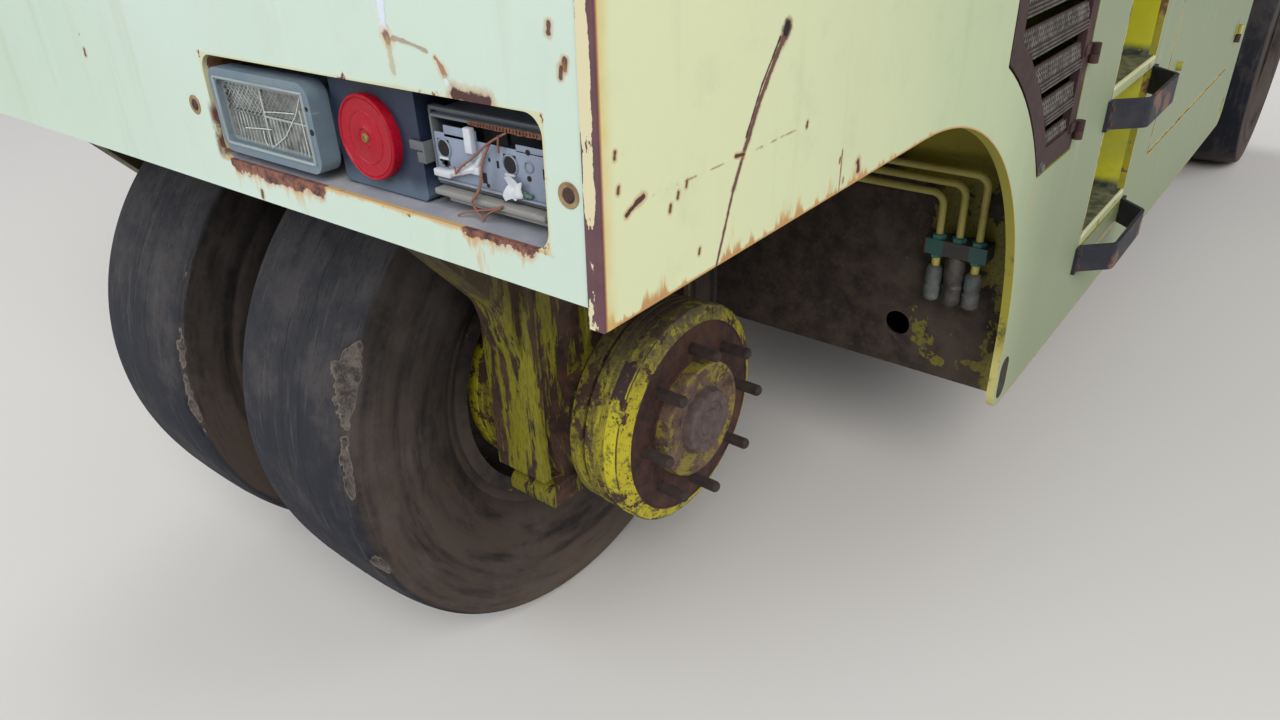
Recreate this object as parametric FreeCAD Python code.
import FreeCAD, Part
import math
import os

V = FreeCAD.Vector

# Frame: +X forward, +Y to the machine's left, +Z up, origin on the ground under the middle of the body.
# All sizes are in millimetres.

# Body shell
BODY_LENGTH = 5200.0
BODY_WIDTH = 1900.0
BODY_DEPTH = 524.0
FRONT_DROP = 180.0
SKIRT_BOTTOM_Z = 372.0
REAR_LEAN = 17.7
PANEL_RISE = 17.0
PANEL_SET = 2.0
FLANGE_DEPTH = 27.0
SKIRT_CORNER_R = 60.0
SKIRT_REAR_R = 35.0
FRONT_ARCH_R = 120.0
FRONT_CORNER_R = 40.0
DECK_CORNER_R = 200.0
SKIRT_FROM_AXLE = 834.0
DECK_SET = 166.0

# Plates and clearances
SIDE_PLATE = 16.0
FLOOR_PLATE = 8.0
SHEET = 5.0
LINING = 4.0
PLATE_BEND = 16.0
SEAM = 5.0
FIT = 0.3
RUNNING_CLEARANCE = 0.05
CUT_OVER = 5.0

# Wheels
TYRE_R = 525.0
TYRE_W = 310.0
TREAD_W = 296.0
SHOULDER_DROP = 16.0
BULGE_R = 384.0
BEAD_R = 254.0
BEAD_W = 206.0
BEAD_LIP = 8.0
RIM_FLANGE_R = 271.0
RIM_WALL = 11.0
RIM_FLANGE_W = 14.0
RIM_FLANGE_T = 5.0
RIM_LEDGE = 1.0
DISC_T = 14.0
DISC_DISH = 40.0
DISC_OFFSET = 61.0
REAR_OVERHANG = 625.0
FRONT_OVERHANG = 600.0
ROLLING_OVERHANG = 50.0
ARCH_GAP = 26.0

# Hubs and studs
HUB_R = 204.0
HUB_GAP = 4.0
CONTACT_R = 176.0
CONTACT_RAISE = 12.0
HOUSING_R = 185.0
HOUSING_W = 124.0
PILOT_R = 110.0
PILOT_LENGTH = 22.0
SPINDLE_CAP_R = 62.0
SPINDLE_CAP_LENGTH = 16.0
STUD_COUNT = 8
STUD_R = 11.0
STUD_LENGTH = 55.0
STUD_PCD = 275.0
STUD_HOLE_R = 12.5
SHAFT_R = 60.0

# Drive housings
BRACKET_RIB = 16.0
BRACKET_REAR = 520.0
BRACKET_FRONT = 300.0
BRACKET_FLANGE_T = 22.0
BRACKET_FLANGE_LIP = 14.0
BRACKET_RECESS = 26.0
BRACKET_LUG = 145.0

# Front legs
KINGPIN_R = 60.0
KINGPIN_TOP = 250.0
KINGPIN_BOSS_WALL = 30.0
LEG_BARREL_R = 92.0
LEG_BARREL_W = 170.0
LEG_HEAD_DROP = 60.0
LEG_HEAD_X = 150.0
LEG_CLEARANCE = 20.0
LEG_FOOT_X = 90.0
LEG_TAPER_Y = 15.0
FRONT_SHAFT_R = 40.0
FRONT_HUB_R = 108.0
FRONT_FLANGE_T = 20.0
FRONT_CAP_LENGTH = 52.0

# Rear wheelhouse
BULKHEAD_SET = 74.0
CREASE_RUN = 290.0
CREASE_DROP = 230.0
BULKHEAD_HOLE_INSET = 250.0
BULKHEAD_HOLE_RISE = 103.0
BULKHEAD_HOLE_R = 28.5

# Rear lamp recess and what stands in it
RECESS_EDGE = 56.0
RECESS_WIDTH = 490.0
RECESS_RISE = 54.0
RECESS_HEIGHT = 109.0
RECESS_DEPTH = 90.0
RECESS_CORNER_R = 18.0
RECESS_SHEET = 3.0
LAMP_INSET = 355.0
LAMP_W = 178.0
LAMP_H = 88.0
LAMP_SET = 4.0
LAMP_RIM_T = 22.0
LAMP_STEP = 9.0
LAMP_CORNER_R = 16.0
LENS_MARGIN = 12.0
LENS_T = 9.0
LENS_POCKET = 14.0
MOUNT_INSET = 228.0
MOUNT_W = 124.0
MOUNT_H = 104.0
MOUNT_DEPTH = 60.0
MOUNT_CORNER_R = 6.0
REFLECTOR_INSET = 294.0
REFLECTOR_R = 42.5
REFLECTOR_T = 12.0
TAIL_INSET = 70.0
TAIL_W = 153.0
TAIL_H = 70.0
TAIL_DEPTH = 55.0
TAIL_BAYS = 3

# Side openings
GRILLE_FROM_AXLE = 297.0
GRILLE_WIDTH = 463.0
GRILLE_RISE = 348.0
GRILLE_BELOW_TOP = 124.0
GRILLE_ARC_GAP = 108.0
GRILLE_FRAME = 44.0
GRILLE_T = 15.0
LOUVRE_PITCH = 69.0
LOUVRE_RISE = 46.0
LOUVRE_T = 3.0
LOUVRE_LIP = 6.0
GRILLE_HINGES = 4
GRILLE_HINGE_PITCH = 142.0
GRILLE_HINGE_LENGTH = 36.0
STEP_FROM_AXLE = 1041.0
STEP_WIDTH = 385.0
STEP_BOTTOM_RISE = 188.0
STEP_FIRST_RISE = 35.0
STEP_COUNT = 3
STEP_DEPTH = 220.0
STEP_LIP = 26.0
STEP_CORNER_R = 8.0
DOOR_FROM_STEP = 224.0
DOOR_FROM_SKIRT = 262.0
DOOR_BOTTOM_RISE = 259.0
DOOR_BELOW_TOP = 100.0
DOOR_T = 24.0
DOOR_CORNER_R = 10.0
DOOR_HINGE_INSET = 122.0
DOOR_HINGE_LENGTH = 60.0
LATCH_R = 12.0
LATCH_STAND = 14.0
LATCH_INSET = 126.0
LATCH_RISE = 210.0
LOCKER_DEPTH = 330.0
LOCKER_STOP = 25.0
GUARD_REACH = 70.0
GUARD_HEIGHT = 64.0
GUARD_T = 8.0
GUARD_FOOT = 26.0
GUARD_RAMP = 58.0
HINGE_PIN_R = 5.0
HINGE_BARREL_R = 9.0
HINGE_LEAF = 40.0
HINGE_LEAF_T = 4.0
SLOT_W = 50.0
SLOT_H = 95.0
SLOT_RISE = 17.0
SLOT_REAR_INSET = 14.0
SLOT_FRONT_INSET = 40.0

# Hood, cowl and engine
HOOD_RISE = 250.0
HOOD_SHOULDER = 190.0
HOOD_SHOULDER_RISE = 60.0
HOOD_SHEET = 5.0
HOOD_SIDE_R = 40.0
HOOD_CROWN_R = 60.0
HOOD_SHOULDER_SHARE = 0.6
HOOD_SEAM = 10.0
HOOD_GAP_TO_GRILLE = 15.0
HOOD_REAR_SLOPE = 260.0
HOOD_END_SET = 8.0
HOOD_END_RISE = 70.0
HOOD_HINGE_Y = 500.0
HOOD_HINGE_W = 40.0
HOOD_HINGE_OUT = 4.0
COWL_LENGTH = 270.0
COWL_SKIRT = 40.0
EXHAUST_R = 45.0
EXHAUST_WALL = 3.0
EXHAUST_RISE = 500.0
EXHAUST_TIP_RUN = 150.0
EXHAUST_TIP_RISE = 90.0
EXHAUST_BEND = 110.0
EXHAUST_FLANGE = 30.0
EXHAUST_SETBACK = 140.0
EXHAUST_Y = 300.0
ENGINE_SET = 160.0
ENGINE_LENGTH = 680.0
ENGINE_WIDTH = 760.0
ENGINE_RISE = 120.0

# Operator's station
POST = 80.0
POST_INSET = 310.0
POST_REAR_SET = 60.0
POST_FRONT_SET = 120.0
POST_FOOT_T = 16.0
POST_FOOT_X = 20.0
POST_FOOT_Y = 35.0
HEADROOM = 1300.0
ROOF_T = 90.0
ROOF_RIM = 40.0
ROOF_SKIN = 6.0
ROOF_CORNER_R = 110.0
ROOF_CHAMFER = 35.0
ROOF_INSET = 130.0
ROOF_REAR_OVER = 230.0
ROOF_FRONT_OVER = 220.0
RAIL_R = 17.0
RAIL_MIDDLE_R = 13.6
RAIL_BEND = 120.0
RAIL_INSET = 45.0
RAIL_HEIGHT = 900.0
RAIL_FROM_STEP = 70.0
RAIL_FRONT_SET = 70.0
RAIL_FOOT_R = 29.0
RAIL_FOOT_T = 8.0
GRAB_R = 14.0
GRAB_STAND = 80.0
GRAB_RISE = 320.0
GRAB_LENGTH = 630.0
GRAB_BEND = 50.0
SEAT_FROM_COWL = 400.0
SEAT_HEIGHT = 410.0
SEAT_HALF = 240.0
SEAT_LENGTH = 540.0
SEAT_CUSHION = 110.0
SEAT_BACK = 560.0
SEAT_BACK_LEAN = 50.0
SEAT_BACK_T = 100.0
SEAT_PLATE_T = 20.0
SEAT_COLUMN_HALF = 170.0
SEAT_PLATE_X = 220.0
SEAT_PLATE_Y = 210.0
CONSOLE_FROM_SEAT = 760.0
CONSOLE_BACK = 120.0
CONSOLE_FRONT = 230.0
CONSOLE_HALF = 330.0
CONSOLE_FACE = 560.0
CONSOLE_TOP = 820.0
CONSOLE_LIP = 760.0
CONSOLE_KNEE = 400.0
CONSOLE_CROWN = 100.0
COLUMN_TILT = 28.0
COLUMN_R = 32.0
COLUMN_LENGTH = 430.0
STEER_REACH = 200.0
STEER_R = 190.0
STEER_GRIP_R = 13.0
STEER_HUB_R = 34.0
STEER_HUB_T = 36.0
STEER_SPOKE_R = 8.0
STEER_PIN_R = 9.0

# Front end
HEADLAMP_R = 85.0
HEADLAMP_RIM = 14.0
HEADLAMP_BOWL = 90.0
HEADLAMP_INSET = 260.0
HEADLAMP_RISE = 194.0
CLEVIS_PIN_R = 16.0
CLEVIS_PIN_SET = 52.0
CLEVIS_LENGTH = 150.0
CLEVIS_HALF = 55.0
CLEVIS_PLATE = 22.0
CLEVIS_HEIGHT = 92.0

# Pipes on the bulkhead
PIPE_R = 7.5
PIPE_INSETS = [91.0, 131.0, 172.0]
PIPE_BELOW_CREASE = 16.0
PIPE_STEP = 24.0
PIPE_STAND = 32.0
PIPE_BEND = 24.0
PIPE_INNER_INSET = 390.0
PIPE_BAR_DROP = 156.0
PIPE_BAR_HALF = 16.0
PIPE_STEM = 60.0
PIPE_FITTING = 58.0

# Stations that follow from the sizes above
REAR_X = -BODY_LENGTH / 2
FRONT_X = BODY_LENGTH / 2
SIDE_Y = BODY_WIDTH / 2
INNER_Y = SIDE_Y - SIDE_PLATE
AXLE_Z = TYRE_R
ARCH_R = TYRE_R + ARCH_GAP
END_BOTTOM_Z = AXLE_Z + ARCH_R
TOP_Z = END_BOTTOM_Z + BODY_DEPTH
FRONT_TOP_Z = TOP_Z - FRONT_DROP
CEILING_Z = END_BOTTOM_Z + 2 * FLOOR_PLATE
REAR_AXLE_X = REAR_X + REAR_OVERHANG
FRONT_AXLE_X = FRONT_X - FRONT_OVERHANG
WHEEL_PITCH = (SIDE_Y + ROLLING_OVERHANG) / 2
PAIR_SHIFT = WHEEL_PITCH / 5
REAR_PAIR_Y = {"right": PAIR_SHIFT - WHEEL_PITCH, "left": PAIR_SHIFT + WHEEL_PITCH}
FRONT_PAIR_Y = {"right": -PAIR_SHIFT - WHEEL_PITCH, "left": WHEEL_PITCH - PAIR_SHIFT}
DISC_Y = WHEEL_PITCH / 2 - DISC_OFFSET
LEG_HEAD_Y = (WHEEL_PITCH - TYRE_W) / 2 - LEG_CLEARANCE
LEG_FOOT_Y = LEG_HEAD_Y - LEG_TAPER_Y
BULKHEAD_X = REAR_AXLE_X + ARCH_R + BULKHEAD_SET
SKIRT_REAR_X = REAR_AXLE_X + ARCH_R
SKIRT_FRONT_X = FRONT_AXLE_X - SKIRT_FROM_AXLE
GRILLE_X0 = REAR_AXLE_X + GRILLE_FROM_AXLE
GRILLE_X1 = GRILLE_X0 + GRILLE_WIDTH
GRILLE_Z0 = AXLE_Z + GRILLE_RISE
GRILLE_Z1 = TOP_Z - GRILLE_BELOW_TOP
GRILLE_ARC_R = ARCH_R + GRILLE_ARC_GAP
STEP_X0 = REAR_AXLE_X + STEP_FROM_AXLE
STEP_X1 = STEP_X0 + STEP_WIDTH
STEP_BOTTOM_Z = SKIRT_BOTTOM_Z + STEP_BOTTOM_RISE
STEP_FIRST_Z = STEP_BOTTOM_Z + STEP_FIRST_RISE
STEP_RISE = (TOP_Z - STEP_FIRST_Z) / STEP_COUNT
DOOR_X0 = STEP_X1 + DOOR_FROM_STEP
DOOR_X1 = SKIRT_FRONT_X - DOOR_FROM_SKIRT
DOOR_Z0 = SKIRT_BOTTOM_Z + DOOR_BOTTOM_RISE
DOOR_Z1 = TOP_Z - DOOR_BELOW_TOP
HOOD_TOP_Z = TOP_Z + HOOD_RISE
HOOD_FRONT_X = GRILLE_X1 - HOOD_GAP_TO_GRILLE
COWL_REAR_X = HOOD_FRONT_X + HOOD_SEAM
COWL_FRONT_X = COWL_REAR_X + COWL_LENGTH
DECK_FRONT_X = SKIRT_FRONT_X - DECK_SET
POST_Y = SIDE_Y - POST_INSET
POST_REAR_X = COWL_FRONT_X + POST_REAR_SET
POST_FRONT_X = DECK_FRONT_X - POST_FRONT_SET
ROOF_BOTTOM_Z = TOP_Z + HEADROOM
SEAT_X = COWL_FRONT_X + SEAT_FROM_COWL
CONSOLE_X = SEAT_X + CONSOLE_FROM_SEAT
STEER_X = CONSOLE_X - STEER_REACH
STEER_Z = TOP_Z + CONSOLE_TOP
HEADLAMP_Y = SIDE_Y - HEADLAMP_INSET
HEADLAMP_Z = END_BOTTOM_Z + HEADLAMP_RISE
RECESS_Z0 = END_BOTTOM_Z + RECESS_RISE
RECESS_Z = RECESS_Z0 + RECESS_HEIGHT / 2
RECESS_BACK_X = REAR_X + RECESS_DEPTH - RECESS_SHEET
LAMP_Y0 = -SIDE_Y + LAMP_INSET
LAMP_Y1 = LAMP_Y0 + LAMP_W
LAMP_FACE_X = REAR_X + LAMP_SET
MOUNT_Y0 = -SIDE_Y + MOUNT_INSET
MOUNT_FACE_X = RECESS_BACK_X - MOUNT_DEPTH
TAIL_Y0 = -SIDE_Y + TAIL_INSET
TAIL_Y1 = TAIL_Y0 + TAIL_W
HOOD_HINGE_X = REAR_X + REAR_LEAN - HOOD_HINGE_OUT
HOOD_HINGE_Z = TOP_Z + HINGE_BARREL_R + 1.0
EXHAUST_AT = (COWL_FRONT_X - EXHAUST_SETBACK, EXHAUST_Y)

PLANES = {
    "x": (lambda u, v: V(0, u, v), V(1, 0, 0)),
    "y": (lambda u, v: V(u, 0, v), V(0, 1, 0)),
    "z": (lambda u, v: V(u, v, 0), V(0, 0, 1)),
}


def box(x0, x1, y0, y1, z0, z1):
    """Block between two corners."""
    return Part.makeBox(x1 - x0, y1 - y0, z1 - z0, V(x0, y0, z0))


def rod(axis, centre, radius, start, end):
    """Cylinder along one axis; centre gives the two other coordinates in X, Y, Z order."""
    place, direction = PLANES[axis]
    return Part.makeCylinder(radius, end - start, place(*centre) + direction * start, direction)


def rounded_edges(corners, closed):
    """Straight edges joined by tangent arcs; each corner is a vector with its bend radius."""
    count = len(corners)
    entries, exits, arcs = [], [], []
    for index, (point, radius) in enumerate(corners):
        inner = closed or 0 < index < count - 1
        if radius == 0 or not inner:
            entries.append(point)
            exits.append(point)
            arcs.append(None)
            continue
        back = (corners[index - 1][0] - point).normalize()
        ahead = (corners[(index + 1) % count][0] - point).normalize()
        half = back.getAngle(ahead) / 2
        start = point + back * (radius / math.tan(half))
        end = point + ahead * (radius / math.tan(half))
        towards = (back + ahead).normalize()
        middle = point + towards * (radius / math.sin(half) - radius)
        entries.append(start)
        exits.append(end)
        arcs.append(Part.Arc(start, middle, end).toShape())
    edges = []
    for index in range(count):
        if arcs[index] is not None:
            edges.append(arcs[index])
        following = (index + 1) % count
        if following == 0 and not closed:
            break
        if (entries[following] - exits[index]).Length > 1e-6:
            edges.append(Part.makeLine(exits[index], entries[following]))
    return edges


def slab(axis, corners, start, end):
    """Plate whose outline lies square to an axis; a corner is (u, v) or (u, v, radius)."""
    place, direction = PLANES[axis]
    points = [(place(c[0], c[1]), c[2] if len(c) > 2 else 0) for c in corners]
    face = Part.Face(Part.Wire(rounded_edges(points, True)))
    solid = face.extrude(direction * (end - start))
    solid.translate(direction * start)
    return solid


def tube(points, radius, bend, bore=0):
    """Round bar or pipe along straight runs joined by tangent arcs."""
    runs = []
    for edge in rounded_edges([(V(*p), bend) for p in points], False):
        start = edge.valueAt(edge.FirstParameter)
        direction = edge.tangentAt(edge.FirstParameter)
        face = Part.Face(Part.Wire(Part.makeCircle(radius, start, direction)))
        if bore:
            face = face.cut(Part.Face(Part.Wire(Part.makeCircle(bore, start, direction))))
        if isinstance(edge.Curve, Part.Circle):
            angle = math.degrees(edge.Length / edge.Curve.Radius)
            runs.append(face.revolve(edge.Curve.Center, edge.Curve.Axis, angle))
        else:
            runs.append(face.extrude(direction * edge.Length))
    return runs[0].multiFuse(runs[1:]).removeSplitter()


def turned(profile, x, y, z):
    """Ring or disc turned about a wheel's axis; profile is (offset along Y, radius, corner radius)."""
    points = [(V(p[0], 0, p[1]), p[2] if len(p) > 2 else 0) for p in profile]
    face = Part.Face(Part.Wire(rounded_edges(points, True)))
    solid = face.revolve(V(0, 0, 0), V(1, 0, 0), 360)
    solid.rotate(V(0, 0, 0), V(0, 0, 1), 90)
    solid.translate(V(x, y, z))
    return solid


def mirrored(shape):
    """The same piece on the machine's other side."""
    return shape.mirror(V(0, 0, 0), V(0, 1, 0))


def export(node, *solids):
    """One STEP file; solids that share a node do not touch."""
    shape = solids[0] if len(solids) == 1 else Part.Compound(list(solids))
    shape.exportStep("parts/" + node + ".step")


def sides(name, right):
    """The right-hand piece and its mirror image as two nodes."""
    export(name + "_right", right)
    export(name + "_left", mirrored(right))


# Side plates

def step_levels():
    return [STEP_FIRST_Z + STEP_RISE * index for index in range(STEP_COUNT)]


def grille_outline(grow):
    """Grille door or its opening: a block with one corner cut on the wheel's arc."""
    y0, y1 = -SIDE_Y - GUARD_REACH, -INNER_Y + GUARD_REACH
    block = box(GRILLE_X0 - grow, GRILLE_X1 + grow, y0, y1, GRILLE_Z0 - grow, GRILLE_Z1 + grow)
    return block.cut(rod("y", (REAR_AXLE_X, AXLE_Z), GRILLE_ARC_R - grow, y0 - CUT_OVER, y1 + CUT_OVER))


def tie_slot(x, z):
    """Cutting block for an upright lashing slot with round ends."""
    radius = SLOT_W / 2
    y0, y1 = -SIDE_Y - CUT_OVER, -INNER_Y + CUT_OVER
    z0, z1 = z - SLOT_H / 2 + radius, z + SLOT_H / 2 - radius
    cutter = box(x - radius, x + radius, y0, y1, z0, z1)
    for end_z in (z0, z1):
        cutter = cutter.fuse(rod("y", (x, end_z), radius, y0, y1))
    return cutter


def side_plate():
    """Thick plate with both wheel arches, the grille, step and door openings and two lashing slots."""
    corners = [
        (REAR_X, END_BOTTOM_Z),
        (SKIRT_REAR_X, END_BOTTOM_Z, ARCH_R),
        (SKIRT_REAR_X, SKIRT_BOTTOM_Z, SKIRT_REAR_R),
        (SKIRT_FRONT_X, SKIRT_BOTTOM_Z, SKIRT_CORNER_R),
        (SKIRT_FRONT_X, END_BOTTOM_Z, FRONT_ARCH_R),
        (FRONT_X, END_BOTTOM_Z),
        (FRONT_X, FRONT_TOP_Z, FRONT_CORNER_R),
        (DECK_FRONT_X, TOP_Z, DECK_CORNER_R),
        (REAR_X + REAR_LEAN, TOP_Z),
    ]
    plate = slab("y", corners, -SIDE_Y, -INNER_Y)
    plate = plate.cut(grille_outline(SEAM))
    step_hole = [
        (STEP_X0, STEP_BOTTOM_Z, STEP_CORNER_R),
        (STEP_X1, STEP_BOTTOM_Z, STEP_CORNER_R),
        (STEP_X1, TOP_Z + CUT_OVER),
        (STEP_X0, TOP_Z + CUT_OVER),
    ]
    door_hole = [
        (DOOR_X0 - SEAM, DOOR_Z0 - SEAM, DOOR_CORNER_R + SEAM),
        (DOOR_X1 + SEAM, DOOR_Z0 - SEAM, DOOR_CORNER_R + SEAM),
        (DOOR_X1 + SEAM, DOOR_Z1 + SEAM, DOOR_CORNER_R + SEAM),
        (DOOR_X0 - SEAM, DOOR_Z1 + SEAM, DOOR_CORNER_R + SEAM),
    ]
    for hole in (step_hole, door_hole):
        plate = plate.cut(slab("y", hole, -SIDE_Y - CUT_OVER, -INNER_Y + CUT_OVER))
    slot_z = SKIRT_BOTTOM_Z + SLOT_H / 2 + SLOT_RISE
    for slot_x in (SKIRT_REAR_X + SLOT_W / 2 + SLOT_REAR_INSET, SKIRT_FRONT_X - SLOT_W / 2 - SLOT_FRONT_INSET):
        plate = plate.cut(tie_slot(slot_x, slot_z))
    return plate


# Rear end

def panel_lean(z):
    """Forward shift of the rear panel at a height."""
    return REAR_LEAN * (z - END_BOTTOM_Z) / (TOP_Z - END_BOTTOM_Z)


def leaning_slab(front_offset, back_offset, z0, z1, half_width):
    """Sheet parallel to the leaning rear face; offsets are measured forward from its outer plane."""
    corners = [
        (REAR_X + panel_lean(z0) + front_offset, z0),
        (REAR_X + panel_lean(z0) + back_offset, z0),
        (REAR_X + panel_lean(z1) + back_offset, z1),
        (REAR_X + panel_lean(z1) + front_offset, z1),
    ]
    return slab("y", corners, -half_width, half_width)


def recess_block(grow, x0, x1):
    y0 = -SIDE_Y + RECESS_EDGE
    y1 = y0 + RECESS_WIDTH
    z0 = RECESS_Z0
    z1 = z0 + RECESS_HEIGHT
    radius = RECESS_CORNER_R + grow
    corners = [
        (y0 - grow, z0 - grow, radius),
        (y1 + grow, z0 - grow, radius),
        (y1 + grow, z1 + grow, radius),
        (y0 - grow, z1 + grow, radius),
    ]
    return slab("x", corners, x0, x1)


def rear_panel():
    """Leaning sheet with two recess holes and a turned-in bottom flange."""
    z0 = END_BOTTOM_Z + PANEL_RISE
    panel = leaning_slab(PANEL_SET, PANEL_SET + SHEET, z0, TOP_Z, INNER_Y)
    hole = recess_block(0, REAR_X - CUT_OVER, REAR_X + RECESS_DEPTH / 2)
    panel = panel.cut(hole).cut(mirrored(hole))
    face_x = REAR_X + PANEL_SET + SHEET
    flange = box(face_x, face_x + FLANGE_DEPTH, -INNER_Y, INNER_Y, z0, z0 + SHEET)
    return panel.fuse(flange).removeSplitter()


def behind_panel():
    """Everything in front of the rear panel's inner face."""
    return leaning_slab(PANEL_SET + SHEET, 2 * RECESS_DEPTH, END_BOTTOM_Z, TOP_Z, SIDE_Y)


def lamp_recess():
    depth_x = REAR_X + RECESS_DEPTH
    outer = recess_block(RECESS_SHEET, REAR_X, depth_x)
    inner = recess_block(0, REAR_X - 1, depth_x - RECESS_SHEET)
    return outer.cut(inner).common(behind_panel())


def rounded_block(y0, y1, half_height, radius, x0, x1):
    """Block with rounded corners in the recess, centred on its middle height."""
    corners = [
        (y0, RECESS_Z - half_height, radius),
        (y1, RECESS_Z - half_height, radius),
        (y1, RECESS_Z + half_height, radius),
        (y0, RECESS_Z + half_height, radius),
    ]
    return slab("x", corners, x0, x1)


def lens_block(grow, x0, x1):
    margin = LENS_MARGIN - grow
    return rounded_block(LAMP_Y0 + margin, LAMP_Y1 - margin, LAMP_H / 2 - margin, LAMP_CORNER_R / 2, x0, x1)


def work_lamp():
    """Rounded lamp housing with a stepped rim, standing on the recess's back wall."""
    half = LAMP_H / 2
    rim_x = LAMP_FACE_X + LAMP_RIM_T
    housing = rounded_block(LAMP_Y0, LAMP_Y1, half, LAMP_CORNER_R, LAMP_FACE_X, rim_x)
    shell = rounded_block(
        LAMP_Y0 + LAMP_STEP, LAMP_Y1 - LAMP_STEP, half - LAMP_STEP, LAMP_CORNER_R - FIT, rim_x, RECESS_BACK_X)
    pocket = lens_block(FIT, LAMP_FACE_X - 1, LAMP_FACE_X + LENS_POCKET)
    return housing.fuse(shell).cut(pocket).removeSplitter()


def work_lamp_lens():
    return lens_block(0, LAMP_FACE_X + LENS_POCKET - LENS_T - FIT, LAMP_FACE_X + LENS_POCKET)


def reflector_mount():
    """Block on the recess's back wall that carries the reflector."""
    return rounded_block(MOUNT_Y0, MOUNT_Y0 + MOUNT_W, MOUNT_H / 2, MOUNT_CORNER_R, MOUNT_FACE_X, RECESS_BACK_X)


def reflector():
    """Round reflector on its mounting block, with its middle screw boss."""
    centre = (-SIDE_Y + REFLECTOR_INSET, RECESS_Z)
    front_x = MOUNT_FACE_X - REFLECTOR_T
    disc = rod("x", centre, REFLECTOR_R, front_x, MOUNT_FACE_X)
    return disc.fuse(rod("x", centre, REFLECTOR_R / 5, front_x - REFLECTOR_T / 4, MOUNT_FACE_X))


def tail_lamp_base():
    """Empty tray of the broken tail lamp: rim, three bulb bays and their dividing ribs."""
    half = TAIL_H / 2
    front_x = RECESS_BACK_X - TAIL_DEPTH
    base = rounded_block(TAIL_Y0, TAIL_Y1, half, LAMP_CORNER_R / 2, front_x, RECESS_BACK_X)
    bay = (TAIL_Y1 - TAIL_Y0 - (TAIL_BAYS + 1) * LINING) / TAIL_BAYS
    z0, z1 = RECESS_Z - half + LINING, RECESS_Z + half - LINING
    for index in range(TAIL_BAYS):
        y0 = TAIL_Y0 + LINING + index * (bay + LINING)
        base = base.cut(box(front_x - 1, RECESS_BACK_X - LINING, y0, y0 + bay, z0, z1))
    for y in (TAIL_Y0 + LINING + bay / 2, TAIL_Y1 - LINING - bay / 2):
        base = base.cut(rod("x", (y, RECESS_Z), bay / 3, front_x, RECESS_BACK_X + 1))
    return base


# Folded plates under and between the sides

def folded_plate(corners, thickness, bend, half_width):
    """Plate bent along an outline in side view; corners lie on its tyre side, the plate outside them."""
    points = [V(u, 0, v) for u, v in corners]
    runs = [(points[i + 1] - points[i]).normalize() for i in range(len(points) - 1)]
    normals = [V(-run.z, 0, run.x) for run in runs]
    back = [points[0] + normals[0] * thickness]
    for index in range(1, len(points) - 1):
        mitre = (normals[index - 1] + normals[index]).normalize()
        back.append(points[index] + mitre * (thickness / mitre.dot(normals[index])))
    back.append(points[-1] + normals[-1] * thickness)
    last = len(points) - 1
    outline = [(p.x, p.z, bend if 0 < i < last else 0) for i, p in enumerate(points)]
    outline += [(back[i].x, back[i].z, bend + thickness if 0 < i < last else 0) for i in range(last, -1, -1)]
    return slab("y", outline, -half_width, half_width)


def rear_wheelhouse():
    """Floor over the rear tyres, sloping plate and bulkhead in one folded plate."""
    corners = [
        (REAR_X + PANEL_SET + SHEET + FLANGE_DEPTH, CEILING_Z),
        (BULKHEAD_X - CREASE_RUN, CEILING_Z),
        (BULKHEAD_X, CEILING_Z - CREASE_DROP),
        (BULKHEAD_X, SKIRT_BOTTOM_Z),
    ]
    plate = folded_plate(corners, FLOOR_PLATE, PLATE_BEND, INNER_Y)
    hole_at = (-SIDE_Y + BULKHEAD_HOLE_INSET, SKIRT_BOTTOM_Z + BULKHEAD_HOLE_RISE)
    return plate.cut(rod("x", hole_at, BULKHEAD_HOLE_R, BULKHEAD_X - CUT_OVER, BULKHEAD_X + FLOOR_PLATE + CUT_OVER))


def belly_plate():
    front = SKIRT_FRONT_X - FLOOR_PLATE
    return box(BULKHEAD_X + FLOOR_PLATE, front, -INNER_Y, INNER_Y, SKIRT_BOTTOM_Z, SKIRT_BOTTOM_Z + FLOOR_PLATE)


def front_wheelhouse():
    """Wall and roof round the steered wheels, with the kingpin bearings standing on the roof."""
    front = FRONT_X - PANEL_SET - SHEET
    roof_top = CEILING_Z + FLOOR_PLATE
    plate = box(SKIRT_FRONT_X - FLOOR_PLATE, SKIRT_FRONT_X, -INNER_Y, INNER_Y, SKIRT_BOTTOM_Z, roof_top)
    plate = plate.fuse(box(SKIRT_FRONT_X, front, -INNER_Y, INNER_Y, CEILING_Z, roof_top))
    top = CEILING_Z + KINGPIN_TOP
    for pair_y in FRONT_PAIR_Y.values():
        centre = (FRONT_AXLE_X, pair_y)
        plate = plate.fuse(rod("z", centre, KINGPIN_R + KINGPIN_BOSS_WALL, CEILING_Z, top))
        plate = plate.cut(rod("z", centre, KINGPIN_R + RUNNING_CLEARANCE, CEILING_Z - 1, top + 1))
    return plate.removeSplitter()


def deck():
    """Floor of the operator's station, notched for the top of both step wells."""
    plate = box(COWL_FRONT_X, DECK_FRONT_X, -INNER_Y, INNER_Y, TOP_Z - SHEET, TOP_Z)
    notch = box(STEP_X0, STEP_X1, -SIDE_Y, -SIDE_Y + STEP_DEPTH, TOP_Z - SHEET - CUT_OVER, TOP_Z + CUT_OVER)
    return plate.cut(notch).cut(mirrored(notch))


# Steps

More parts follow.
